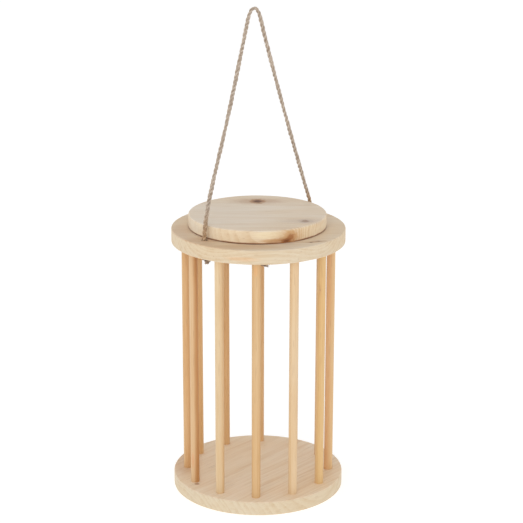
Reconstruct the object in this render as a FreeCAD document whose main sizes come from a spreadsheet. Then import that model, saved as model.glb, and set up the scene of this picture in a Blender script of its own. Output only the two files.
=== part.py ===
"""Hanging lantern: two round pine boards held apart by a cage of dowels, with a loose
round lid over the opening in the upper board and a twisted jute rope to hang it by.

Frame: millimetres, +Z up, origin at the centre of the base board's underside.
The first dowel stands on the +X side and the others follow every 30 degrees.
The rope passes through two opposite holes of the upper board, midway between dowels.
"""

import FreeCAD, Part
import math
import os
import Sketcher

PARTS_FOLDER = "parts"

# The driving dimensions, in millimetres and degrees: (alias, value, meaning).
DIMENSIONS = [
    ("board_diameter", 160.0, "outside diameter of the base and of the upper board"),
    ("board_thickness", 13.0, "thickness of the base and of the upper board"),
    ("board_easing", 0.8, "rounding of the boards' sharp edges"),
    ("cage_height", 226.5, "clear height between the two boards"),
    ("opening_diameter", 104.0, "opening in the upper board, under the lid"),
    ("pitch_radius", 67.0, "circle on which the dowels and rope holes stand"),
    ("dowel_count", 12, "dowels round the cage"),
    ("dowel_diameter", 8.0, "diameter of one dowel"),
    ("dowel_chamfer", 0.6, "chamfer at a dowel's ends"),
    ("socket_depth", 8.0, "how deep a dowel goes into each board"),
    ("socket_clearance", 0.05, "gap round a dowel in its socket, filled by glue"),
    ("rope_hole_diameter", 5.0, "hole for the rope in the upper board"),
    ("near_hole_angle", -135.0, "direction of the near rope hole; the far one is opposite"),
    ("lid_diameter", 127.0, "diameter of the loose lid"),
    ("lid_thickness", 12.5, "thickness of the lid"),
    ("lid_top_easing", 1.5, "rounding of the lid's upper edge"),
    ("lid_offset_x", -1.0, "how far the loose lid lies off the axis along X"),
    ("lid_offset_y", 3.0, "how far the loose lid lies off the axis along Y"),
    ("rope_diameter", 3.5, "diameter of the twisted rope"),
    ("rope_fold_height", 267.5, "height of the line about which the slack loop folds"),
    ("rope_fold_gap", 0.35, "clear gap between a rope foot and the loop above it"),
    ("knot_belly_radius", 3.8, "half the width of a stopper knot"),
    ("knot_belly_half_height", 5.8, "half the height of the knot's full oval"),
    ("knot_flat_angle", 40.0, "where the knot's oval is cut flat, above its middle"),
]

# The rope's route, lower end first. In the upright plane through both rope holes a point
# is (distance from the lantern's axis towards the near hole, height).
NEAR_FOOT = [(67.0, 239.5), (66.6, 250.0), (64.4, 267.5)]
LOOP = [
    (64.4, 267.5),
    (59.0, 292.0),
    (9.1, 452.0),
    (0.7, 452.0),
    (-65.7, 267.5),
]
FAR_FOOT = [(-67.0, 239.5), (-67.5, 262.6), (-65.7, 267.5)]

# The free ends beyond the knots, as (x, y, height). The near one is tucked in behind the
# front dowels, just under the board, and the far one is short.
NEAR_TAIL = [
    (-45.5, -46.0, 234.6),
    (-30.5, -52.4, 236.7),
    (-14.0, -58.0, 236.5),
    (0.0, -60.6, 235.7),
    (9.5, -60.2, 233.6),
]
FAR_TAIL = [(46.8, 46.8, 232.5), (45.6, 46.4, 226.5), (46.2, 44.2, 221.0)]

ARC_SHARE = 0.45  # share of the shorter run that an arc takes at each corner
VOLUME_TOLERANCE = 0.01  # largest difference between a tube's volume and section x length
SMALLEST_CUT = 1.0  # mm3; a pocket that removes less has missed the body
LEVEL_TOLERANCE = 1e-6  # mm; edges this close to a height lie at it


def make_sheet(doc):
    """The spreadsheet that holds the driving dimensions."""
    sheet = doc.addObject("Spreadsheet::Sheet", "Dimensions")
    for row, (alias, value, meaning) in enumerate(DIMENSIONS, start=1):
        sheet.set(f"A{row}", alias)
        sheet.set(f"B{row}", str(value))
        sheet.set(f"C{row}", meaning)
        sheet.setAlias(f"B{row}", alias)
    doc.recompute()
    return sheet


def add_body(doc, name):
    """An empty body whose label is the sub-part's name."""
    body = doc.addObject("PartDesign::Body", name)
    body.Label = name
    return body


def origin_feature(body, role):
    """The body's own origin plane or axis with that role."""
    return next(f for f in body.Origin.OriginFeatures if f.Role == role)


def flat_sketch(body, name, height=None):
    """A sketch on the body's own XY plane, or on a level above it."""
    sketch = body.newObject("Sketcher::SketchObject", name)
    sketch.AttachmentSupport = [(origin_feature(body, "XY_Plane"), "")]
    sketch.MapMode = "FlatFace"
    if height:
        sketch.setExpression("AttachmentOffset.Base.z", height)
    return sketch


def add_circle(sketch, radius, distance=None):
    """A circle of that radius, at the origin or at that distance along X."""
    index = sketch.addGeometry(Part.Circle(FreeCAD.Vector(1, 0, 0), FreeCAD.Vector(0, 0, 1), 1))
    size = sketch.addConstraint(Sketcher.Constraint("Radius", index, 1.0))
    sketch.setExpression(f"Constraints[{size}]", radius)
    if distance is None:
        sketch.addConstraint(Sketcher.Constraint("Coincident", index, 3, -1, 1))
        return
    sketch.addConstraint(Sketcher.Constraint("PointOnObject", index, 3, -1))
    place = sketch.addConstraint(Sketcher.Constraint("DistanceX", -1, 1, index, 3, 1.0))
    sketch.setExpression(f"Constraints[{place}]", distance)


def add_pad(body, sketch, length):
    """Pads the sketch upwards."""
    pad = body.newObject("PartDesign::Pad", "Pad")
    pad.Profile = sketch
    pad.setExpression("Length", length)
    body.Document.recompute()
    return pad


def add_pocket(body, sketch, name, depth=None, upwards=False):
    """Cuts the sketch into the body, and stops if the cut removes nothing."""
    before = body.Shape.Volume
    pocket = body.newObject("PartDesign::Pocket", name)
    pocket.Profile = sketch
    pocket.Reversed = upwards
    if depth is None:
        pocket.Type = "ThroughAll"
    else:
        pocket.setExpression("Length", depth)
    body.Document.recompute()
    if body.Shape.Volume > before - SMALLEST_CUT:
        raise RuntimeError(f"{body.Label}: {name} cuts nothing")
    return pocket


def repeat_round_axis(body, feature, name, count):
    """Repeats a feature evenly round the body's Z axis."""
    pattern = body.newObject("PartDesign::PolarPattern", name)
    pattern.Originals = [feature]
    pattern.Axis = (origin_feature(body, "Z_Axis"), [""])
    pattern.Angle = 360
    pattern.setExpression("Occurrences", count)
    body.Tip = pattern
    body.Document.recompute()


def rim_edges(shape, height):
    """Names of the full-circle edges that lie at that height of the body's own frame."""
    names = []
    for number, edge in enumerate(shape.Edges, start=1):
        box = edge.BoundBox
        level = abs(box.ZMin - height) < LEVEL_TOLERANCE and box.ZLength < LEVEL_TOLERANCE
        if edge.isClosed() and level:
            names.append(f"Edge{number}")
    return names


def ease_edges(body, base, name, heights, radius, kind="Fillet"):
    """Rounds or chamfers the rims of the base feature at those heights."""
    names = [edge for height in heights for edge in rim_edges(base.Shape, height)]
    feature = body.newObject(f"PartDesign::{kind}", name)
    feature.Base = (base, names)
    feature.setExpression("Radius" if kind == "Fillet" else "Size", radius)
    body.Document.recompute()
    return feature


def make_base(doc, sheet):
    """The base board, with a blind socket for each dowel in its upper face."""
    body = add_body(doc, "base_plate")
    outline = flat_sketch(body, "Outline")
    add_circle(outline, "Dimensions.board_diameter / 2")
    pad = add_pad(body, outline, "Dimensions.board_thickness")
    ease_edges(body, pad, "EasedRims", [0, sheet.board_thickness], "Dimensions.board_easing")

    socket = flat_sketch(body, "Socket", "Dimensions.board_thickness")
    add_circle(socket, "Dimensions.dowel_diameter / 2 + Dimensions.socket_clearance",
               "Dimensions.pitch_radius")
    pocket = add_pocket(body, socket, "SocketPocket", "Dimensions.socket_depth")
    repeat_round_axis(body, pocket, "Sockets", "Dimensions.dowel_count")
    return body


def make_ring(doc, sheet):
    """The upper board: a ring with sockets in its underside and two through holes for the rope."""
    body = add_body(doc, "top_ring")
    outline = flat_sketch(body, "Outline")
    add_circle(outline, "Dimensions.board_diameter / 2")
    add_circle(outline, "Dimensions.opening_diameter / 2")
    pad = add_pad(body, outline, "Dimensions.board_thickness")
    ease_edges(body, pad, "EasedRims", [0, sheet.board_thickness], "Dimensions.board_easing")

    socket = flat_sketch(body, "Socket")
    add_circle(socket, "Dimensions.dowel_diameter / 2 + Dimensions.socket_clearance",
               "Dimensions.pitch_radius")
    pocket = add_pocket(body, socket, "SocketPocket", "Dimensions.socket_depth", upwards=True)
    repeat_round_axis(body, pocket, "Sockets", "Dimensions.dowel_count")

    hole = flat_sketch(body, "RopeHole", "Dimensions.board_thickness")
    hole.setExpression("AttachmentOffset.Rotation.Angle", "Dimensions.near_hole_angle")
    add_circle(hole, "Dimensions.rope_hole_diameter / 2", "Dimensions.pitch_radius")
    pocket = add_pocket(body, hole, "RopeHolePocket")
    repeat_round_axis(body, pocket, "RopeHoles", "2")
    body.setExpression("Placement.Base.z", "Dimensions.board_thickness + Dimensions.cage_height")
    return body


def make_dowel(doc, index):
    """One round dowel, from the floor of its lower socket to the roof of its upper one."""
    body = add_body(doc, f"dowel_{index + 1:02d}")
    section = flat_sketch(body, "Section")
    add_circle(section, "Dimensions.dowel_diameter / 2")
    pad = add_pad(body, section, "Dimensions.cage_height + 2 * Dimensions.socket_depth")
    ends = [0, pad.Shape.BoundBox.ZMax]
    ease_edges(body, pad, "ChamferedEnds", ends, "Dimensions.dowel_chamfer", kind="Chamfer")
    turn = f"{index} * 360 / Dimensions.dowel_count"
    body.setExpression("Placement.Base.x", f"Dimensions.pitch_radius * cos({turn})")
    body.setExpression("Placement.Base.y", f"Dimensions.pitch_radius * sin({turn})")
    body.setExpression("Placement.Base.z", "Dimensions.board_thickness - Dimensions.socket_depth")
    return body


def make_lid(doc, sheet):
    """The loose lid, a plain disc that lies over the opening, a little off the axis."""
    body = add_body(doc, "lid")
    outline = flat_sketch(body, "Outline")
    add_circle(outline, "Dimensions.lid_diameter / 2")
    pad = add_pad(body, outline, "Dimensions.lid_thickness")
    top = ease_edges(body, pad, "EasedTop", [sheet.lid_thickness], "Dimensions.lid_top_easing")
    ease_edges(body, top, "EasedBottom", [0], "Dimensions.board_easing")
    body.setExpression("Placement.Base.x", "Dimensions.lid_offset_x")
    body.setExpression("Placement.Base.y", "Dimensions.lid_offset_y")
    body.setExpression("Placement.Base.z", "2 * Dimensions.board_thickness + Dimensions.cage_height")
    return body


def make_knot(doc, name, side):
    """The outer shape of a stopper knot: an oval, cut flat where it bears on the ring's underside."""
    knot = doc.addObject("Part::Ellipsoid", name)
    knot.Label = name
    knot.setExpression("Radius1", "Dimensions.knot_belly_half_height")
    knot.setExpression("Radius2", "Dimensions.knot_belly_radius")
    knot.setExpression("Radius3", "Dimensions.knot_belly_radius")
    knot.setExpression("Angle2", "Dimensions.knot_flat_angle")
    reach = f"{side} * Dimensions.pitch_radius"
    knot.setExpression("Placement.Base.x", f"{reach} * cos(Dimensions.near_hole_angle)")
    knot.setExpression("Placement.Base.y", f"{reach} * sin(Dimensions.near_hole_angle)")
    knot.setExpression(
        "Placement.Base.z",
        "Dimensions.board_thickness + Dimensions.cage_height"
        " - Dimensions.knot_belly_half_height * sin(Dimensions.knot_flat_angle)",
    )
    return knot


def in_rope_plane(sheet, points):
    """Points (distance towards the near hole, height) as points in space."""
    angle = math.radians(float(sheet.near_hole_angle))
    return [FreeCAD.Vector(d * math.cos(angle), d * math.sin(angle), z) for d, z in points]


def rounded_path(name, points):
    """Straight runs joined by tangent arcs, each as large as its two runs allow."""
    edges = []
    radii = []
    start = points[0]
    for before, corner, after in zip(points, points[1:], points[2:]):
        incoming = corner - before
        outgoing = after - corner
        tangent = ARC_SHARE * min(incoming.Length, outgoing.Length)
        half_turn = incoming.getAngle(outgoing) / 2
        radius = tangent / math.tan(half_turn)
        incoming.normalize()
        outgoing.normalize()
        inwards = (outgoing - incoming).normalize()
        arc_start = corner - incoming * tangent
        arc_middle = corner + inwards * (radius / math.cos(half_turn) - radius)
        arc_end = corner + outgoing * tangent
        edges.append(Part.LineSegment(start, arc_start).toShape())
        edges.append(Part.Arc(arc_start, arc_middle, arc_end).toShape())
        radii.append(radius)
        start = arc_end
    edges.append(Part.LineSegment(start, points[-1]).toShape())
    print(f"{name}: arc radii {[round(r, 1) for r in radii]} mm")
    return Part.Wire(edges)


def rope_tube(sheet, name, points):
    """A round tube of the rope's diameter along the route."""
    path = rounded_path(name, points)
    radius = float(sheet.rope_diameter) / 2
    ring = Part.makeCircle(radius, points[0], points[1] - points[0])
    tube = path.makePipeShell([Part.Wire([ring])], True, False)
    expected = math.pi * radius**2 * path.Length
    print(f"{name}: {path.Length:.1f} mm long, volume {tube.Volume / expected:.4f} of section x length")
    if abs(tube.Volume / expected - 1) > VOLUME_TOLERANCE:
        raise RuntimeError(f"{name}: the tube's volume doesn't match its section and length")
    return tube


def add_shape(doc, name, shape):
    """A sub-part whose shape is worked out here, from the sheet's sizes."""
    feature = doc.addObject("Part::Feature", name)
    feature.Label = name
    feature.Shape = shape
    feature.Placement = FreeCAD.Placement()
    return feature


def make_foot(doc, sheet, name, route):
    """The rope from a knot up through its hole, ending just under the fold."""
    points = in_rope_plane(sheet, route)
    tube = rope_tube(sheet, name, points)
    top = sheet.rope_fold_height - sheet.rope_diameter / 2 - sheet.rope_fold_gap
    size = float(sheet.board_diameter)
    above = Part.makeBox(size, size, size, FreeCAD.Vector(-size / 2, -size / 2, top))
    above.translate(FreeCAD.Vector(points[-1].x, points[-1].y, 0))
    return add_shape(doc, name, tube.cut(above))


def make_loop(doc, sheet):
    """The rope above the fold: two taut legs and the bight, with rounded ends on the fold line."""
    points = in_rope_plane(sheet, LOOP)
    tube = rope_tube(sheet, "rope_loop", points)
    radius = float(sheet.rope_diameter) / 2
    ends = [Part.makeSphere(radius, end) for end in (points[0], points[-1])]
    return add_shape(doc, "rope_loop", tube.fuse(ends).removeSplitter())


def make_tail(doc, sheet, name, route):
    """The free end of the rope beyond a knot."""
    points = [FreeCAD.Vector(*point) for point in route]
    return add_shape(doc, name, rope_tube(sheet, name, points))


def make_rope(doc, sheet):
    """The rope, one length from tail to tail, as the stretches that move and lie differently."""
    return [
        make_knot(doc, "rope_knot_near", 1),
        make_knot(doc, "rope_knot_far", -1),
        make_foot(doc, sheet, "rope_foot_near", NEAR_FOOT),
        make_foot(doc, sheet, "rope_foot_far", FAR_FOOT),
        make_tail(doc, sheet, "rope_tail_near", NEAR_TAIL),
        make_tail(doc, sheet, "rope_tail_far", FAR_TAIL),
        make_loop(doc, sheet),
    ]


def check(doc, subparts):
    """Stops if any object failed to compute, or a sub-part's shape isn't one sound solid."""
    for item in doc.Objects:
        if "Invalid" in item.State or "Error" in item.State:
            raise RuntimeError(f"{item.Label}: {item.State}")
    for subpart in subparts:
        shape = subpart.Shape
        if shape.isNull() or not shape.isValid() or len(shape.Solids) != 1:
            raise RuntimeError(f"{subpart.Label}: its shape isn't one valid solid")


def main():
    doc = FreeCAD.newDocument("hanging_lantern")
    sheet = make_sheet(doc)
    subparts = [make_base(doc, sheet), make_ring(doc, sheet), make_lid(doc, sheet)]
    subparts += [make_dowel(doc, index) for index in range(int(sheet.dowel_count))]
    subparts += make_rope(doc, sheet)
    doc.recompute()
    check(doc, subparts)

    os.makedirs(PARTS_FOLDER, exist_ok=True)
    for subpart in subparts:
        subpart.Shape.exportStep(os.path.join(PARTS_FOLDER, subpart.Label + ".step"))
        print(f"{subpart.Label}: {subpart.Shape.Volume / 1000:.2f} cm3")


main()
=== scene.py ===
"""Hanging pine lantern: procedural wood on the CAD boards, lid and dowels, and a twisted
jute rope, with its two stopper knots, built in mesh code round the CAD route."""

import math
import random
from collections import namedtuple

import bpy
import numpy as np
from mathutils import Matrix, Vector


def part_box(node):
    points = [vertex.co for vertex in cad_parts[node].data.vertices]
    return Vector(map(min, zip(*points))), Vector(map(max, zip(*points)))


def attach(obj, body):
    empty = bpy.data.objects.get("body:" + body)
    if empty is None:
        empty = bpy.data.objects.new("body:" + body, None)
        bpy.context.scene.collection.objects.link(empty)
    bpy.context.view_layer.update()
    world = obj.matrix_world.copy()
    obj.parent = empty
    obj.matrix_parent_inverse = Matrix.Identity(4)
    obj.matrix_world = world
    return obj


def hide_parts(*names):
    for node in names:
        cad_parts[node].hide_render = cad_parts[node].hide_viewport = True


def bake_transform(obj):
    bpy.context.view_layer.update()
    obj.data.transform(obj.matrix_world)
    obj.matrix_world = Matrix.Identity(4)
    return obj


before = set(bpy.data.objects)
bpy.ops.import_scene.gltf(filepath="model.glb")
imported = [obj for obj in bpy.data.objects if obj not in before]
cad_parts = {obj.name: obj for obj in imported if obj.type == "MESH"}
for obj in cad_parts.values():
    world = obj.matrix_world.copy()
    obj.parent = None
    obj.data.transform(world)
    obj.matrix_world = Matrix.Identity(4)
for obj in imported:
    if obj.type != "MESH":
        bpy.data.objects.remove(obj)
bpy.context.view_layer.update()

MM = 0.001
RING_LOW, RING_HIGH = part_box("top_ring")
BASE_LOW, BASE_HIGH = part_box("base_plate")
LID_LOW, LID_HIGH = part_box("lid")

# ---------------------------------------------------------------- camera

CAMERA_PLACE = (0.0401, -1.4982, 0.6692)
CAMERA_TILT = math.radians(73.274)
CAMERA_TURN = math.radians(1.423)
CAMERA_ROLL = math.radians(0.127)
CAMERA_LENS_MM = 116.66
CAMERA_SENSOR_MM = 36


def make_camera():
    """The camera at the photograph's viewing angle."""
    data = bpy.data.cameras.new("Camera")
    data.sensor_width = CAMERA_SENSOR_MM
    data.lens = CAMERA_LENS_MM
    camera = bpy.data.objects.new("Camera", data)
    camera.location = CAMERA_PLACE
    aim = Matrix.Rotation(CAMERA_TURN, 3, "Z") @ Matrix.Rotation(CAMERA_TILT, 3, "X")
    camera.rotation_euler = (aim @ Matrix.Rotation(CAMERA_ROLL, 3, "Z")).to_euler()
    bpy.context.scene.collection.objects.link(camera)
    bpy.context.scene.camera = camera


make_camera()

# ---------------------------------------------------------------- rope

NEAR_HOLE_ANGLE = math.radians(-135)
ROPE_DIAMETER = 0.0035
ROPE_PITCH = 0.0140  # one full turn of a strand
STRANDS = 3
STRAND_RADIUS = 0.00087
STRAND_OFFSET = 0.00098  # from the rope's middle to a strand's middle
STRAND_SIDES = 12
ROPE_STEP = 0.0005  # between the rings of points that make a strand
SPLINE_STEPS = 24  # points read from a spline between two control points
ACROSS_HINT = (0.3, 0.2, 0.93)  # a direction that no part of the rope runs in
FIBRE_TURNS_PER_METRE = -90.0  # how the fibres wind round their strand
HAIR_SIDES = 3
LOOSE_HAIR = {"steps": 6, "radius": 0.00005, "taper_end": 1.15, "length": (0.0015, 0.0042)}
FRAYED_HAIR = {"steps": 4, "radius": 0.00007, "taper_end": 1.2, "length": (0.0018, 0.0036)}
HAIR_ROOT = 0.42 * ROPE_DIAMETER  # how far from the rope's middle its loose fibres start
ROPE_FIBRES = 420

# The rope's route from the near hole over the bight to the far hole, as (distance from the
# axis towards the near hole, height), in metres.
ROPE_ROUTE = [
    (0.0670, 0.2395),
    (0.0674, 0.2500),
    (0.0650, 0.2675),
    (0.0598, 0.2920),
    (0.0386, 0.3552),
    (0.0169, 0.4310),
    (0.0106, 0.4530),
    (0.0008, 0.4530),
    (-0.0057, 0.4310),
    (-0.0320, 0.3557),
    (-0.0593, 0.2832),
    (-0.0655, 0.2675),
    (-0.0675, 0.2626),
    (-0.0670, 0.2395),
]


def in_rope_plane(distance, height):
    """A point of the upright plane through both rope holes."""
    x = distance * math.cos(NEAR_HOLE_ANGLE)
    y = distance * math.sin(NEAR_HOLE_ANGLE)
    return Vector((x, y, height))


def nurbs_points(points, name):
    """Points read from the NURBS spline that has those control points."""
    data = bpy.data.curves.new(name, "CURVE")
    data.dimensions = "3D"
    data.resolution_u = SPLINE_STEPS
    spline = data.splines.new("NURBS")
    spline.points.add(len(points) - 1)
    for control, place in zip(spline.points, points):
        control.co = (*place, 1)
    spline.order_u = 3
    spline.use_endpoint_u = True
    carrier = bpy.data.objects.new(name, data)
    mesh = bpy.data.meshes.new_from_object(carrier)
    line = np.array([v.co for v in mesh.vertices])
    bpy.data.meshes.remove(mesh)
    bpy.data.objects.remove(carrier)
    bpy.data.curves.remove(data)
    return line


def distances_along(line):
    """How far along the line each of its points is."""
    return np.concatenate([[0], np.cumsum(np.linalg.norm(np.diff(line, axis=0), axis=1))])


def evenly_spaced(line, step):
    """The line again, with points one step apart."""
    along = distances_along(line)
    places = np.linspace(0, along[-1], int(math.ceil(along[-1] / step)) + 1)
    return np.stack([np.interp(places, along, line[:, k]) for k in range(3)], axis=1)


def carried_frames(line):
    """Two directions across the line at each of its points, carried along without twist."""
    tangents = np.gradient(line, axis=0)
    tangents /= np.linalg.norm(tangents, axis=1)[:, None]
    side = np.cross(tangents[0], ACROSS_HINT)
    sides = []
    for tangent in tangents:
        side = side - tangent * side.dot(tangent)
        side /= np.linalg.norm(side)
        sides.append(side)
    sides = np.array(sides)
    return tangents, sides, np.cross(tangents, sides)


def add_tube(vertices, faces, uvs, centres, radii, across, sections, v_turns=0.0, u_start=0.0):
    """Adds a closed tube round the centres; across is the pair of directions at each centre."""
    first, second = across
    start = len(vertices)
    count = len(centres)
    along = u_start + distances_along(centres)
    for i in range(count):
        for k in range(sections):
            angle = 2 * math.pi * k / sections
            reach = radii[i] * (first[i] * math.cos(angle) + second[i] * math.sin(angle))
            vertices.append(tuple(centres[i] + reach))
    for i in range(count - 1):
        for k in range(sections):
            following = (k + 1) % sections
            a, b = start + i * sections, start + (i + 1) * sections
            faces.append((a + k, a + following, b + following, b + k))
            turn = [along[i] * v_turns, along[i + 1] * v_turns]
            uvs.append([
                (along[i], k / sections + turn[0]),
                (along[i], (k + 1) / sections + turn[0]),
                (along[i + 1], (k + 1) / sections + turn[1]),
                (along[i + 1], k / sections + turn[1]),
            ])
    for ring, flip in ((0, True), (count - 1, False)):
        cap = [start + ring * sections + k for k in range(sections)]
        faces.append(tuple(reversed(cap)) if flip else tuple(cap))
        uvs.append([(along[ring], 0.0)] * sections)


def mesh_piece(name, vertices, faces, uvs=None, smooth=True):
    """A mesh object in the scene."""
    mesh = bpy.data.meshes.new(name)
    mesh.from_pydata(vertices, [], faces)
    mesh.validate()
    if uvs:
        layer = mesh.uv_layers.new(name="Fibres")
        flat = [number for face in uvs for corner in face for number in corner]
        layer.data.foreach_set("uv", flat)
    mesh.polygons.foreach_set("use_smooth", [smooth] * len(mesh.polygons))
    piece = bpy.data.objects.new(name, mesh)
    bpy.context.scene.collection.objects.link(piece)
    return piece


def ripple(along, size, length, phase):
    """A gentle wave along the rope."""
    return size * np.sin(along / length + phase)


def strand_lines(line, seed):
    """The middle line, radius and across directions of each strand laid round the line.

    The twist is uneven, and the rope thins a little from its first end to its last."""
    draw = np.random.default_rng(seed)
    tangents, first, second = carried_frames(line)
    along = distances_along(line)
    wander = ripple(along, 0.5, 0.031, draw.uniform(0, 6))
    wander = wander + ripple(along, 0.3, 0.0127, draw.uniform(0, 6))
    slow, quick = draw.uniform(0, 2 * math.pi, 2)
    thickness = 1.04 - 0.09 * along / along[-1]
    thickness += ripple(along, 0.05, 0.0175, slow) + ripple(along, 0.055, 0.0058, quick)
    for strand in range(STRANDS):
        angle = 2 * math.pi * (along / ROPE_PITCH + strand / STRANDS) + wander
        out = first * np.cos(angle)[:, None] + second * np.sin(angle)[:, None]
        phases = draw.uniform(0, 2 * math.pi, 3)
        swell = 1 + ripple(along, 0.07, 0.0021, phases[0]) + ripple(along, 0.06, 0.0057, phases[1])
        offset = STRAND_OFFSET * thickness * (1 + ripple(along, 0.08, 0.0083, phases[2]))
        centres = line + out * offset[:, None]
        across = np.cross(tangents, out)
        yield centres, STRAND_RADIUS * thickness * swell, (out, across)


def twisted_rope(name, line, seed):
    """A three-strand rope that follows the line, as one mesh."""
    vertices, faces, uvs = [], [], []
    for number, (centres, radii, across) in enumerate(strand_lines(line, seed)):
        add_tube(
            vertices, faces, uvs, centres, radii, across, sections=STRAND_SIDES,
            v_turns=FIBRE_TURNS_PER_METRE, u_start=0.7 * number)
    return mesh_piece(name, vertices, faces, uvs)


def add_hair(vertices, faces, uvs, kind, centres, heading, aside):
    """Adds one tapering fibre; aside is any direction but its heading."""
    radii = kind["radius"] * (kind["taper_end"] - np.linspace(0, 1, kind["steps"]))
    side = np.cross(heading, aside)
    side /= np.linalg.norm(side)
    up = np.cross(heading, side)
    pair = (np.tile(side, (kind["steps"], 1)), np.tile(up, (kind["steps"], 1)))
    add_tube(vertices, faces, uvs, centres, radii, pair, sections=HAIR_SIDES)


def stray_fibres(name, line, count, seed):
    """Short loose jute fibres that stand off the rope's surface."""
    draw = np.random.default_rng(seed)
    tangents, first, second = carried_frames(line)
    vertices, faces, uvs = [], [], []
    for _ in range(count):
        i = int(draw.integers(2, len(line) - 2))
        angle = draw.uniform(0, 2 * math.pi)
        out = first[i] * math.cos(angle) + second[i] * math.sin(angle)
        lean = draw.choice((-1, 1)) * tangents[i] * draw.uniform(0.7, 2.2)
        curl = np.cross(tangents[i], out) * draw.uniform(-0.9, 0.9)
        length = draw.uniform(*LOOSE_HAIR["length"])
        steps = np.linspace(0, 1, LOOSE_HAIR["steps"])
        start = line[i] + out * HAIR_ROOT
        heading = out * 0.9 + lean
        heading /= np.linalg.norm(heading)
        centres = np.array([start + length * (t * heading + t * t * curl * 0.5) for t in steps])
        add_hair(vertices, faces, uvs, LOOSE_HAIR, centres, heading, out + (0.01, 0.02, 0.03))
    return mesh_piece(name, vertices, faces, uvs)


rope_route = [in_rope_plane(distance, height) for distance, height in ROPE_ROUTE]
rope_line = evenly_spaced(nurbs_points(rope_route, "route"), ROPE_STEP)
rope = twisted_rope("rope", rope_line, seed=3)
rope_fibres = stray_fibres("rope_fibres", rope_line, ROPE_FIBRES, seed=5)

# The knots: the rope goes down through its hole, turns back up, winds a little more than
# once round itself just under the board, and leaves as the free end. Heights are in
# millimetres from the board's underside.
HOLE_DISTANCE = 0.067  # from the lantern's axis, in metres
KNOT_ENTRY = (1.5, -2.0, -6.0)
KNOT_TURN_BACK = (0.9, 0.6, -8.4)  # from the coil's middle line
KNOT_COIL_RADIUS = 2.75
KNOT_COIL_LOW = -6.9
KNOT_COIL_RISE = 4.7
KNOT_COIL_START = math.radians(-100)
KNOT_COIL_TURNS = 1.3
KNOT_COIL_POINTS = 10
KNOT_FIBRES = 90
KNOT_FRAYED_FIBRES = 70
NEAR_KNOT_LEAN = 0.0020  # how far in x the near knot's coil sits from its hole, in metres

# The free ends beyond the knots, in metres.
NEAR_TAIL = [
    (-0.0405, -0.0482, 0.2352),
    (-0.0305, -0.0524, 0.2367),
    (-0.0140, -0.0580, 0.2365),
    (0.0000, -0.0606, 0.2357),
    (0.0095, -0.0602, 0.2336),
]
FAR_TAIL = [(0.0463, 0.0476, 0.2310), (0.0456, 0.0464, 0.2265), (0.0462, 0.0442, 0.2210)]


def knot_route(side, tail, start_angle, lean):
    """Control points of a knot under the hole on that side, with its free end.

    lean is how far in x the coil sits from the hole's middle line."""
    centre = in_rope_plane(side * HOLE_DISTANCE, 0)
    coil = centre + Vector((lean, 0, 0))
    under = RING_LOW[2]
    points = []
    for k, height in enumerate(KNOT_ENTRY):
        points.append(centre + Vector((lean * k / 2, 0, under + height * MM)))
    x, y, height = KNOT_TURN_BACK
    points.append(coil + Vector((x * MM, y * MM, under + height * MM)))
    reach = KNOT_COIL_RADIUS * MM
    for k in range(KNOT_COIL_POINTS + 1):
        share = k / KNOT_COIL_POINTS
        angle = start_angle + 2 * math.pi * KNOT_COIL_TURNS * share
        height = under + (KNOT_COIL_LOW + KNOT_COIL_RISE * share) * MM
        points.append(coil + Vector((reach * math.cos(angle), reach * math.sin(angle), height)))
    return points + [Vector(p) for p in tail]


def make_knot(name, side, tail, start_angle, lean, seed):
    """One stopper knot with its free end, and the loose fibres on it."""
    line = evenly_spaced(nurbs_points(knot_route(side, tail, start_angle, lean), name), ROPE_STEP)
    knot = twisted_rope(name, line, seed)
    fibres = stray_fibres(name + "_fibres", line, KNOT_FIBRES, seed + 20)
    frayed = frayed_end(name + "_frayed_end", line, seed + 40)
    return [knot, fibres, frayed]


def frayed_end(name, line, seed):
    """The cut end of the rope, opened into a small brush of fibres."""
    draw = np.random.default_rng(seed)
    tangents, first, second = carried_frames(line)
    vertices, faces, uvs = [], [], []
    for _ in range(KNOT_FRAYED_FIBRES):
        angle = draw.uniform(0, 2 * math.pi)
        reach = HAIR_ROOT * math.sqrt(draw.uniform(0, 1))
        out = first[-1] * math.cos(angle) + second[-1] * math.sin(angle)
        start = line[-1] + out * reach - tangents[-1] * 0.001
        heading = tangents[-1] + out * draw.uniform(0.0, 0.55)
        heading /= np.linalg.norm(heading)
        length = draw.uniform(*FRAYED_HAIR["length"])
        steps = np.linspace(0, 1, FRAYED_HAIR["steps"])
        centres = np.array([start + heading * length * t for t in steps])
        add_hair(vertices, faces, uvs, FRAYED_HAIR, centres, heading, (0.31, 0.11, 0.94))
    return mesh_piece(name, vertices, faces, uvs)


near_knot = make_knot(
    "rope_knot_near_tied", 1, NEAR_TAIL, KNOT_COIL_START, lean=NEAR_KNOT_LEAN, seed=11)
far_knot = make_knot(
    "rope_knot_far_tied", -1, FAR_TAIL, KNOT_COIL_START + math.pi, lean=0.0, seed=12)
for piece in near_knot + far_knot:
    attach(piece, "cage")
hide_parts("rope_knot_near", "rope_tail_near")
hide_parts("rope_knot_far", "rope_tail_far")

for piece in (rope, rope_fibres):
    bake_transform(piece)
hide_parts("rope_loop", "rope_foot_near", "rope_foot_far")
rope_length = float(distances_along(rope_line)[-1])

# ---------------------------------------------------------------- materials


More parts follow.
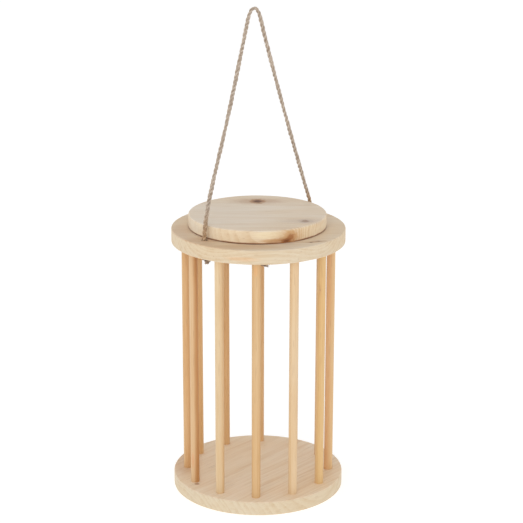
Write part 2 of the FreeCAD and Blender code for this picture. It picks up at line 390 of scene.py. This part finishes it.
class Graph:
    """Short names for building a node material."""

    def __init__(self, name):
        self.material = bpy.data.materials.new(name)
        self.material.use_nodes = True
        self.tree = self.material.node_tree
        self.shader = self.tree.nodes["Principled BSDF"]

    def link(self, value, socket):
        """Links a socket, or sets a plain value."""
        if isinstance(value, bpy.types.NodeSocket):
            self.tree.links.new(value, socket)
        else:
            socket.default_value = value

    def add(self, kind, **settings):
        node = self.tree.nodes.new("ShaderNode" + kind)
        for key, value in settings.items():
            setattr(node, key, value)
        return node

    def math(self, operation, *values, clamp=False):
        node = self.add("Math", operation=operation, use_clamp=clamp)
        for value, socket in zip(values, node.inputs):
            self.link(value, socket)
        return node.outputs[0]

    def vector(self, operation, *values):
        node = self.add("VectorMath", operation=operation)
        for value, socket in zip(values, node.inputs):
            self.link(value, socket)
        return node.outputs["Value" if operation == "LENGTH" else "Vector"]

    def combine(self, x, y, z):
        node = self.add("CombineXYZ")
        for value, socket in zip((x, y, z), node.inputs):
            self.link(value, socket)
        return node.outputs[0]

    def separate(self, vector):
        node = self.add("SeparateXYZ")
        self.link(vector, node.inputs[0])
        return node.outputs

    def noise(self, vector, scale=1.0, detail=2.0, roughness=0.5):
        node = self.add("TexNoise")
        self.link(vector, node.inputs["Vector"])
        node.inputs["Scale"].default_value = scale
        node.inputs["Detail"].default_value = detail
        node.inputs["Roughness"].default_value = roughness
        return node.outputs["Fac"]

    def remap(self, value, low, high, to_low=0.0, to_high=1.0):
        node = self.add("MapRange", interpolation_type="SMOOTHSTEP")
        for number, socket in zip((value, low, high, to_low, to_high), node.inputs):
            self.link(number, socket)
        return node.outputs[0]

    def mix(self, share, first, second, blend="MIX"):
        node = self.add("Mix", data_type="RGBA", blend_type=blend)
        self.link(share, node.inputs[0])
        self.link(first, node.inputs[6])
        self.link(second, node.inputs[7])
        return node.outputs[2]

    def bump(self, height, distance, strength):
        node = self.add("Bump")
        self.link(height, node.inputs["Height"])
        node.inputs["Distance"].default_value = distance
        node.inputs["Strength"].default_value = strength
        return node.outputs[0]


def paint(red, green, blue):
    """A colour given in the usual 0 to 255 steps, as linear values and full opacity."""
    def linear(step):
        c = step / 255
        return c / 12.92 if c <= 0.04045 else ((c + 0.055) / 1.055) ** 2.4
    return (linear(red), linear(green), linear(blue), 1.0)


WHITE = (1, 1, 1, 1)
LATE_WOOD = (0.86, 0.76, 0.64)  # how much of each colour the dark part of a growth ring keeps
WARM_WOOD = (0.985, 0.935, 0.86)  # the same for the slow drift of tone over a board
GREY_BROWN = paint(150, 112, 78)  # resin canals

# How fine each noise is along the grain, across it and through the wood, per metre.
DRIFT_SCALE = (9.0, 24.0, 24.0)
STREAK_SCALE = (11.0, 240.0, 240.0)
FIBRE_SCALE = (34.0, 1250.0, 1250.0)
CANAL_SCALE = (1.6, 0.9, 0.9)  # on top of the fibres' scale
KNOT_EDGE_SCALE = (260.0, 420.0, 420.0)
KNOT_TRAIL = (0.42, 1.15, 1.0)  # under 1 draws a knot's halo out that way, over 1 pulls it in
RING_RHYTHM = 160.0  # how often the rings' spacing changes, per metre
SEED_SHIFT = 0.731  # how far the noises move on from one seed to the next
WOOD_GLOSS = 0.3

# A knot bends the growth rings round it outwards by its push, in metres, and has a halo and a
# core tone. A spot is a soft-edged patch of another tone: a stain in the wood, or painted shade.
# Sizes are half-widths.
Knot = namedtuple("Knot", "place size push tones")
StainOrShade = namedtuple("StainOrShade", "place size strength tone")


def knot_distances(g, here, knot, shift):
    """Distances from a knot, 1 at its edge: smooth, ragged and drawn out along the grain, and
    ragged."""
    offset = g.vector("DIVIDE", g.vector("SUBTRACT", here, knot.place), knot.size)
    smooth = g.vector("LENGTH", offset)
    trail = g.vector("LENGTH", g.vector("MULTIPLY", offset, KNOT_TRAIL))
    noise = g.noise(g.vector("ADD", g.vector("MULTIPLY", here, KNOT_EDGE_SCALE), (shift, 0, 0)))
    ragged = g.math("MULTIPLY", g.math("SUBTRACT", noise, 0.5), 0.9)
    return smooth, g.math("ADD", trail, ragged), g.math("ADD", smooth, ragged)


def growth_rings(g, here, pith, ring_width, wander, shift, bends):
    """How far each point is into the dark part of its growth ring, and the slow drift.

    here is (along the grain, across it, through the wood) in metres, pith is the middle of
    the trunk as (across, through), and bends are (distance from a knot, its push)."""
    slow = g.vector("ADD", g.vector("MULTIPLY", here, DRIFT_SCALE), (shift, shift * 2, shift * 3))
    drift = g.math("SUBTRACT", g.noise(slow), 0.5)
    sway = g.math("SUBTRACT", g.noise(g.vector("ADD", slow, (7.1, 3.3, 9.7)), detail=1.0), 0.5)
    _, across, through = g.separate(here)
    a = g.math("SUBTRACT", g.math("ADD", across, g.math("MULTIPLY", drift, wander)), pith[0])
    b = g.math("SUBTRACT", g.math("ADD", through, g.math("MULTIPLY", sway, wander * 0.6)), pith[1])
    distance = g.math("SQRT", g.math("ADD", g.math("MULTIPLY", a, a), g.math("MULTIPLY", b, b)))
    for from_knot, push in bends:
        squared = g.math("MULTIPLY", from_knot, from_knot)
        bulge = g.math("EXPONENT", g.math("MULTIPLY", squared, -0.28))
        distance = g.math("ADD", distance, g.math("MULTIPLY", bulge, push))
    rhythm = g.noise(g.combine(g.math("MULTIPLY", distance, RING_RHYTHM), shift, 0.0), detail=1.0)
    phase = g.math("ADD", g.math("DIVIDE", distance, ring_width), g.math("MULTIPLY", rhythm, 1.6))
    turn = g.math("FRACT", phase)
    late = g.math("MULTIPLY", g.remap(turn, 0.2, 0.88), g.remap(turn, 1.0, 0.92))
    return late, drift


def darkened(g, colour, share, kept):
    """The colour, with only that much of it kept where the share is 1."""
    return g.mix(1.0, colour, g.mix(share, WHITE, (*kept, 1)), "MULTIPLY")


def wood(g, here, tone, pith, ring_width, seed, contrast, wander=0.010, knots=(), gloss=0.55):
    """Planed softwood: growth rings, streaks, fibres, resin canals, knots and relief."""
    shift = seed * SEED_SHIFT
    around = [knot_distances(g, here, knot, shift) for knot in knots]
    bends = [(smooth, knot.push) for (smooth, _, _), knot in zip(around, knots)]
    late, drift = growth_rings(g, here, pith, ring_width, wander, shift, bends)
    fine = g.vector("MULTIPLY", here, FIBRE_SCALE)
    fibre = g.noise(g.vector("ADD", fine, (shift, 0, 0)), detail=3.0, roughness=0.6)
    medium = g.vector("MULTIPLY", here, STREAK_SCALE)
    streak = g.noise(g.vector("ADD", medium, (0, shift, 0)))

    strength = g.remap(streak, 0.25, 0.75, 0.35 * contrast, contrast)
    for _, trail, _ in around:
        strength = g.math("ADD", strength, g.remap(trail, 3.2, 1.0, 0.0, 0.5))
    share = g.math("MULTIPLY", late, strength)
    share = g.math("ADD", share, g.remap(fibre, 0.35, 0.72, 0.0, 0.30))
    share = g.math("ADD", share, g.remap(streak, 0.45, 0.75, 0.0, 0.22), clamp=True)
    colour = darkened(g, tone, share, LATE_WOOD)
    colour = darkened(g, colour, g.remap(drift, -0.2, 0.25), WARM_WOOD)
    canal = g.remap(g.noise(g.vector("MULTIPLY", fine, CANAL_SCALE), detail=0.0), 0.76, 0.82)
    colour = g.mix(g.math("MULTIPLY", canal, 0.25), colour, GREY_BROWN)
    for (_, trail, edge), knot in zip(around, knots):
        halo_tone, core_tone = knot.tones
        colour = g.mix(g.remap(trail, 1.9, 0.5, 0.0, 0.45), colour, halo_tone)
        colour = g.mix(g.remap(edge, 1.25, 0.7, 0.0, 0.85), colour, halo_tone)
        colour = g.mix(g.remap(edge, 0.75, 0.30, 0.0, 0.95), colour, core_tone)
    g.link(colour, g.shader.inputs["Base Color"])

    relief = g.math("ADD", g.math("MULTIPLY", late, 0.4), g.math("MULTIPLY", fibre, 0.6))
    g.link(g.bump(relief, distance=0.00010, strength=0.6), g.shader.inputs["Normal"])
    g.link(g.remap(fibre, 0.2, 0.8, gloss - 0.06, gloss + 0.1), g.shader.inputs["Roughness"])
    g.shader.inputs["Specular IOR Level"].default_value = WOOD_GLOSS
    return g.material


def stained_and_shaded(g, tone, here, stains_and_shade):
    """The tone with the stains and the painted shade spots on it."""
    for mark in stains_and_shade:
        spot = g.vector("DIVIDE", g.vector("SUBTRACT", here, mark.place), mark.size)
        share = g.remap(g.vector("LENGTH", spot), 1.3, 0.5, 0.0, mark.strength)
        tone = g.mix(share, tone, mark.tone)
    return tone


def painted_seam_shade(g, tone, x, y, z, seam_height):
    """The tone with a narrow ragged brown line of painted shade just above that height, where the
    lid sits on the ring.
    """
    ragged = g.noise(g.combine(x, y, 0.0), scale=90.0)
    reach = g.math("ADD", g.math("MULTIPLY", ragged, 0.0022), 0.0009)
    share = g.remap(g.math("SUBTRACT", z, seam_height), reach, 0.0007, 0.0, 0.9)
    return g.mix(share, tone, SEAM_SHADE_BROWN)


def board_material(
        name, grain_degrees, middle_height, painted_lit_face_tone, painted_shade_edge_tone, pith, ring_width, seed, contrast,
        knots=(), stains_and_shade=(), seam_height=None):
    """Wood for a flat board, with its grain in that direction seen from above."""
    g = Graph(name)
    x, y, z = g.separate(g.add("TexCoord").outputs["Object"])
    c, s = math.cos(math.radians(grain_degrees)), math.sin(math.radians(grain_degrees))
    along = g.math("ADD", g.math("MULTIPLY", x, c), g.math("MULTIPLY", y, s))
    across = g.math("SUBTRACT", g.math("MULTIPLY", y, c), g.math("MULTIPLY", x, s))
    here = g.combine(along, across, g.math("SUBTRACT", z, middle_height))
    turned = []
    for knot in knots:
        kx, ky, kz = knot.place
        turned.append(knot._replace(place=(kx * c + ky * s, ky * c - kx * s, kz - middle_height)))
    # Painted light: faces that point up or down take a lighter tone than the edges, standing in
    # for the stronger light on the tops, and on the lid a greyer one standing in for the sheen on
    # its top.
    face_light_share = g.math("ABSOLUTE", g.separate(g.add("NewGeometry").outputs["Normal"])[2])
    tone = g.mix(g.remap(face_light_share, 0.3, 0.8), painted_shade_edge_tone, painted_lit_face_tone)
    tone = stained_and_shaded(g, tone, g.combine(x, y, z), stains_and_shade)
    # Painted shade: a dark brown line along the lid's lower edge, where it sits on the ring.
    if seam_height is not None:
        tone = painted_seam_shade(g, tone, x, y, z, seam_height)
    return wood(g, here, tone, pith, ring_width, seed, contrast, knots=turned)


DOWEL_RADIUS = 0.004


def dowel_material(name, centre, tone, stripe, seed, contrast, knots=(), stains_and_shade=()):
    """Wood for one upright dowel, its grain along Z.

    stripe is a darker side, as (tone, direction in degrees, strength). Knots and stains are
    placed by (height, across, depth) from the dowel's own middle line."""
    g = Graph(name)
    draw = random.Random(seed)
    x, y, z = g.separate(g.add("TexCoord").outputs["Object"])
    across = g.math("SUBTRACT", x, centre[0])
    depth = g.math("SUBTRACT", y, centre[1])
    here = g.combine(z, across, depth)
    stripe_tone, degrees, strength = stripe
    c = math.cos(math.radians(degrees)) / DOWEL_RADIUS
    s = math.sin(math.radians(degrees)) / DOWEL_RADIUS
    side = g.math("ADD", g.math("MULTIPLY", across, c), g.math("MULTIPLY", depth, s))
    wobble = g.noise(g.combine(g.math("MULTIPLY", z, 14.0), seed * 3.7, 0.0), detail=1.0)
    side = g.math("ADD", side, g.math("MULTIPLY", g.math("SUBTRACT", wobble, 0.5), 0.8))
    tone = g.mix(g.remap(side, -0.2, 0.9, 0.0, strength), paint(*tone), paint(*stripe_tone))
    tone = stained_and_shaded(g, tone, here, stains_and_shade)
    pith = (draw.uniform(-0.02, 0.02), draw.uniform(0.008, 0.025))
    ring_width = draw.uniform(0.0014, 0.0026)
    return wood(
        g, here, tone, pith, ring_width, seed, contrast, wander=0.003, knots=knots, gloss=0.5)


def dress(node, material):
    """Gives a CAD node that material in every slot."""
    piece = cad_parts[node]
    piece.data.materials.clear()
    piece.data.materials.append(material)


# Halo and core tones of the knots.
BROWN_KNOT = (paint(178, 132, 92), paint(100, 60, 36))
ORANGE_KNOT = (paint(204, 160, 112), paint(170, 116, 72))
CORE_KNOT = (paint(156, 100, 58), paint(122, 72, 38))
PALE_KNOT = (paint(208, 188, 170), paint(172, 144, 124))
PIN_KNOT = (paint(200, 156, 116), paint(168, 118, 82))
DARK_MARK = (paint(170, 132, 102), paint(112, 78, 58))
# Tones of the stains and of the painted shade: at the lid's seam and the rope holes, and in part
# on the ring's top round the lid.
SEAM_SHADE_BROWN = paint(122, 62, 16)
HOLE_SHADE_BROWN = paint(112, 76, 46)
SPOT_BROWN = paint(160, 110, 70)
WARM_BROWN = paint(206, 164, 122)
CUP_BROWN = paint(206, 162, 116)
PALE_CUP = paint(244, 231, 200)
PALE_EDGE = paint(226, 217, 201)
ORANGE = paint(232, 176, 118)
RED_ORANGE = paint(226, 150, 100)

BASE_TOP = BASE_HIGH[2]
RING_TOP = RING_HIGH[2]
RING_UNDER = RING_LOW[2]
LID_TOP = LID_HIGH[2]
LID_UNDER = LID_LOW[2]
BASE_MIDDLE = (BASE_LOW[2] + BASE_HIGH[2]) / 2
RING_MIDDLE = (RING_LOW[2] + RING_HIGH[2]) / 2
LID_MIDDLE = (LID_LOW[2] + LID_HIGH[2]) / 2

HOLE_SHADE_DISTANCE = 0.0664  # from the lantern's axis
HOLE_SHADE_SHIFT = (0.0010, -0.0002, 0)

# Painted shade: a dark brown spot on the ring's top at the mouth of each rope hole, standing in
# for the shadow inside the hole.
hole_shade_marks = []
for side in (1, -1):
    mouth = in_rope_plane(side * HOLE_SHADE_DISTANCE, RING_TOP) + Vector(HOLE_SHADE_SHIFT)
    hole_shade_marks.append(StainOrShade(tuple(mouth), (0.0027, 0.0024, 0.02), 0.9, HOLE_SHADE_BROWN))

dress("base_plate", board_material(
    "pine_base",
    grain_degrees=50,
    middle_height=BASE_MIDDLE,
    painted_lit_face_tone=paint(243, 226, 202),
    painted_shade_edge_tone=paint(220, 206, 181),
    pith=(0.030, -0.045),
    ring_width=0.0042,
    seed=1,
    contrast=0.45,
    stains_and_shade=[
        StainOrShade((-0.0560, -0.0405, BASE_TOP), (0.0026, 0.0022, 0.002), 0.7, SPOT_BROWN),
        StainOrShade((-0.0700, 0.0100, BASE_TOP), (0.014, 0.030, 0.010), 0.5, WARM_BROWN),
    ]))
dress("top_ring", board_material(
    "pine_ring",
    grain_degrees=6,
    middle_height=RING_MIDDLE,
    painted_lit_face_tone=paint(234, 219, 197),
    painted_shade_edge_tone=paint(219, 203, 177),
    pith=(-0.064, 0.022),
    ring_width=0.0034,
    seed=2,
    contrast=0.55,
    knots=[
        Knot((0.0548, -0.0475, RING_TOP), (0.0030, 0.0014, 0.0010), 0.002, DARK_MARK),
        Knot((0.0482, -0.0515, RING_TOP), (0.0020, 0.0011, 0.0008), 0.001, DARK_MARK),
    ],
    stains_and_shade=[
        # Partly painted shade: these warm brown patches on the ring's top, round the lid's front
        # and left, are partly the wood's own tone and partly shade beside the lid.
        StainOrShade((-0.0200, -0.0690, RING_TOP), (0.045, 0.008, 0.001), 0.40, WARM_BROWN),
        StainOrShade((-0.0530, -0.0500, RING_TOP), (0.020, 0.016, 0.001), 0.40, WARM_BROWN),
        StainOrShade((-0.0700, -0.0200, RING_TOP), (0.012, 0.024, 0.001), 0.35, WARM_BROWN),
        StainOrShade((-0.0125, -0.0790, RING_UNDER + 0.005), (0.016, 0.010, 0.002), 0.28, ORANGE),
        *hole_shade_marks,
    ]))
dress("lid", board_material(
    "pine_lid",
    grain_degrees=2,
    middle_height=LID_MIDDLE,
    painted_lit_face_tone=paint(236, 224, 208),
    painted_shade_edge_tone=paint(233, 217, 191),
    pith=(0.140, -0.020),
    ring_width=0.0026,
    seed=3,
    contrast=0.45,
    knots=[
        Knot((-0.0020, 0.043, LID_TOP), (0.0072, 0.0090, 0.0060), 0.008, BROWN_KNOT),
        Knot((0.0430, -0.026, LID_TOP), (0.0068, 0.0066, 0.0020), 0.003, PALE_KNOT),
        Knot((0.0300, -0.053, LID_UNDER + 0.005), (0.0070, 0.0080, 0.0058), 0.006, ORANGE_KNOT),
        Knot((0.0265, -0.055, LID_UNDER + 0.002), (0.0050, 0.0060, 0.0026), 0.002, CORE_KNOT),
    ],
    stains_and_shade=[
        StainOrShade((0.0110, -0.0600, LID_UNDER + 0.0082), (0.014, 0.012, 0.0036), 0.75, PALE_CUP),
        StainOrShade((0.0150, -0.0600, LID_UNDER + 0.0032), (0.012, 0.012, 0.0017), 0.8, CUP_BROWN),
        StainOrShade((-0.0600, -0.0200, LID_MIDDLE), (0.016, 0.030, 0.006), 0.6, PALE_EDGE),
    ],
    seam_height=LID_UNDER))

# Each dowel's tone, its darker side as (tone, direction in degrees, strength), and its contrast.
DOWELS = {
    1: ((224, 190, 144), ((224, 177, 134), 200, 0.7), 0.5),
    2: ((226, 194, 150), ((216, 172, 124), 250, 0.5), 0.5),
    3: ((226, 196, 152), ((216, 174, 126), 280, 0.5), 0.5),
    4: ((228, 199, 155), ((216, 174, 126), 310, 0.6), 0.5),
    5: ((227, 197, 152), ((215, 172, 124), 300, 0.6), 0.5),
    6: ((230, 196, 148), ((214, 170, 118), 260, 0.4), 0.5),
    7: ((218, 182, 136), ((217, 173, 125), 300, 0.5), 0.5),
    8: ((220, 188, 148), ((197, 147, 97), -10, 0.95), 0.5),
    9: ((224, 201, 166), ((220, 188, 144), 0, 0.8), 0.35),
    10: ((217, 184, 140), ((212, 174, 126), 20, 0.5), 0.4),
    11: ((226, 201, 166), ((222, 194, 154), 180, 0.5), 0.35),
    12: ((222, 190, 146), ((224, 191, 136), -60, 0.7), 0.45),
}
DOWEL_KNOTS = {
    12: [Knot((0.2035, -0.0012, -0.0040), (0.0015, 0.0008, 0.0012), 0.0006, PIN_KNOT)],
}
DOWEL_STAINS = {
    8: [StainOrShade((0.0350, -0.0020, -0.0035), (0.0080, 0.0016, 0.0030), 0.3, RED_ORANGE)],
    10: [StainOrShade((0.2310, -0.0004, -0.0040), (0.0050, 0.0020, 0.0030), 0.4, ORANGE)],
}
for number, (tone, stripe, contrast) in DOWELS.items():
    node = f"dowel_{number:02d}"
    low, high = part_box(node)
    centre = ((low[0] + high[0]) / 2, (low[1] + high[1]) / 2)
    dress(node, dowel_material(
        "turned_" + node, centre, tone, stripe, 10 + number, contrast,
        DOWEL_KNOTS.get(number, ()), DOWEL_STAINS.get(number, ())))

JUTE_DARK = paint(143, 122, 101)
JUTE_LIGHT = paint(230, 216, 200)
JUTE_GREY = paint(168, 151, 136)
TUFT_DARK = paint(150, 127, 106)
TUFT_LIGHT = paint(232, 219, 204)
LOW_ROPE_TONE = (0.95, 0.78, 0.58)  # how much of each colour the rope keeps at the board
PAINTED_SHADE_TONE = (0.72, 0.66, 0.62)  # the same for the knots under the board: painted shade over the whole knot
LOW_TONE_HEIGHTS = (0.286, 0.256)  # where that tone starts and where it is full


def jute_material(name, low_tone):
    """Twisted jute: fine fibres along each strand, and lighter and darker hanks and tufts.

    low_tone is how much of each colour is left low down, where the rope meets the board."""
    g = Graph(name)
    u, v, _ = g.separate(g.add("UVMap", uv_map="Fibres").outputs[0])
    z = g.separate(g.add("TexCoord").outputs["Object"])[2]

    def strand_noise(per_metre, per_turn, plane, detail=2.0, roughness=0.5):
        along = g.math("MULTIPLY", u, per_metre)
        around = g.math("MULTIPLY", v, per_turn)
        return g.noise(g.combine(along, around, plane), detail=detail, roughness=roughness)

    fibre = strand_noise(260.0, 22.0, 0.0, detail=3.0, roughness=0.65)
    hank = strand_noise(45.0, 1.5, 4.0)
    tuft = strand_noise(210.0, 2.5, 8.0)
    colour = g.mix(g.remap(fibre, 0.3, 0.7), JUTE_DARK, JUTE_LIGHT)
    colour = g.mix(g.remap(hank, 0.35, 0.65, 0.0, 0.5), colour, JUTE_GREY)
    colour = g.mix(g.remap(tuft, 0.45, 0.65, 0.0, 0.6), colour, TUFT_DARK)
    colour = g.mix(g.remap(tuft, 0.45, 0.30, 0.0, 0.5), colour, TUFT_LIGHT)
    # Darker and warmer towards the bottom, where the rope meets the board.
    colour = darkened(g, colour, g.remap(z, *LOW_TONE_HEIGHTS), low_tone)
    g.link(colour, g.shader.inputs["Base Color"])
    g.link(g.bump(fibre, distance=0.00018, strength=0.9), g.shader.inputs["Normal"])
    g.link(g.remap(fibre, 0.2, 0.8, 0.75, 0.92), g.shader.inputs["Roughness"])
    g.shader.inputs["Specular IOR Level"].default_value = 0.2
    g.shader.inputs["Sheen Weight"].default_value = 0.15
    g.shader.inputs["Sheen Roughness"].default_value = 0.5
    return g.material


jute = jute_material("jute", LOW_ROPE_TONE)
for piece in (rope, rope_fibres):
    piece.data.materials.append(jute)
# Painted shade: the knots under the board get the rope's material darkened all over.
painted_shade_jute = jute_material("jute_painted_shade_under_board", PAINTED_SHADE_TONE)
for piece in [*near_knot, *far_knot]:
    piece.data.materials.append(painted_shade_jute)

# ---------------------------------------------------------------- stage and light

WALL_LIGHT = 1.35
CEILING_LIGHT = 0.35
FLOOR_GLOW = 0.60
FLOOR_GREY = (0.6, 0.6, 0.6, 1)
FLOOR_HALF_WIDTH = 2.6
FLOOR_NEAR = -1.6
FLOOR_FAR = 7.0
KEY_PLACE = (-0.4, -2.2, 2.2)
KEY_AIM = (0, 0, 0.2)
KEY_SIZE = 2.0
KEY_POWER = 16


def make_stage():
    """A plain white floor under and behind the lantern."""
    corners = [
        (-FLOOR_HALF_WIDTH, FLOOR_NEAR, 0),
        (FLOOR_HALF_WIDTH, FLOOR_NEAR, 0),
        (FLOOR_HALF_WIDTH, FLOOR_FAR, 0),
        (-FLOOR_HALF_WIDTH, FLOOR_FAR, 0),
    ]
    floor = mesh_piece("floor", corners, [(0, 1, 2, 3)], smooth=False)
    g = Graph("floor")
    g.shader.inputs["Base Color"].default_value = FLOOR_GREY
    g.shader.inputs["Roughness"].default_value = 0.9
    g.shader.inputs["Specular IOR Level"].default_value = 0.1
    g.shader.inputs["Emission Color"].default_value = WHITE
    g.shader.inputs["Emission Strength"].default_value = FLOOR_GLOW
    floor.data.materials.append(g.material)


def make_key_light():
    """A large soft lamp in front of the lantern and above it."""
    data = bpy.data.lights.new("key", "AREA")
    data.size = KEY_SIZE
    data.energy = KEY_POWER
    light = bpy.data.objects.new("key", data)
    light.location = KEY_PLACE
    towards = Vector(KEY_AIM) - Vector(KEY_PLACE)
    light.rotation_euler = towards.to_track_quat("-Z", "Y").to_euler()
    bpy.context.scene.collection.objects.link(light)


def make_room_light():
    """Even light from all sides, stronger from the walls than from the ceiling."""
    world = bpy.data.worlds.new("studio")
    world.use_nodes = True
    tree = world.node_tree
    direction = tree.nodes.new("ShaderNodeTexCoord")
    split = tree.nodes.new("ShaderNodeSeparateXYZ")
    ramp = tree.nodes.new("ShaderNodeMapRange")
    ramp.inputs["To Min"].default_value = WALL_LIGHT
    ramp.inputs["To Max"].default_value = CEILING_LIGHT
    tree.links.new(direction.outputs["Generated"], split.inputs[0])
    tree.links.new(split.outputs["Z"], ramp.inputs["Value"])
    tree.links.new(ramp.outputs[0], tree.nodes["Background"].inputs["Strength"])
    tree.nodes["Background"].inputs["Color"].default_value = WHITE
    bpy.context.scene.world = world


make_stage()
make_key_light()
make_room_light()
bpy.context.scene.view_settings.view_transform = "Standard"
